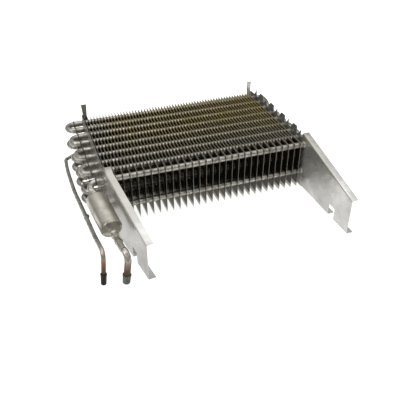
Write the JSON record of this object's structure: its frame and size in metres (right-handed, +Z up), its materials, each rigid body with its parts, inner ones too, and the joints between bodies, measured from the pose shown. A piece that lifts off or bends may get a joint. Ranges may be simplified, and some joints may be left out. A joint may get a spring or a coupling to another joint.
{
  "type": "finned-tube evaporator coil",
  "caption": "Finned-tube evaporator coil between two flanged end plates, with brazed return bends, a suction accumulator and two capped connection tubes.",
  "frame": {"origin": "middle of the bottom of the whole part, at the height of the end plates' lower edges", "axes": "+X along the tubes, away from the return bends and connections; +Y from the open front of the wings to the back of the fins; +Z up"},
  "size_m": [0.4178, 0.3732, 0.107],
  "materials": {
    "fin_sheet": "thin rolled sheet, slightly yellowed",
    "plate_sheet": "bright folded mill sheet",
    "tube_metal": "satin drawn tube",
    "canister": "satin spun canister",
    "copper": "dull heat-marked copper",
    "grey_cap": "soft grey-green plastic",
    "black_cap": "soft black plastic"
  },
  "bodies": {
    "root": {"accumulator": "canister", "feed_bend": "tube_metal", "left_end_plate": "plate_sheet", "liquid_cap": "black_cap", "liquid_copper_end": "copper", "liquid_feed_tube": "tube_metal", "liquid_tube": "tube_metal", "long_fins": "fin_sheet", "lower_hairpin_1": "tube_metal", "lower_hairpin_2": "tube_metal", "lower_hairpin_3": "tube_metal", "lower_hairpin_4": "tube_metal", "lower_return_bends": "tube_metal", "lower_suction_bend": "tube_metal", "middle_return_bends": "tube_metal", "outlet_sleeve": "canister", "rear_hairpin": "tube_metal", "right_end_plate": "plate_sheet", "short_fins": "fin_sheet", "suction_cap": "grey_cap", "suction_copper_end": "copper", "suction_tube": "tube_metal", "top_return_bends": "tube_metal", "upper_hairpin_1": "tube_metal", "upper_hairpin_2": "tube_metal", "upper_hairpin_3": "tube_metal", "upper_hairpin_4": "tube_metal", "upper_hairpin_5": "tube_metal", "upper_hairpin_6": "tube_metal", "upper_hairpin_7": "tube_metal", "upper_hairpin_8": "tube_metal", "upper_suction_bend": "tube_metal"}
  },
  "joints": []
}
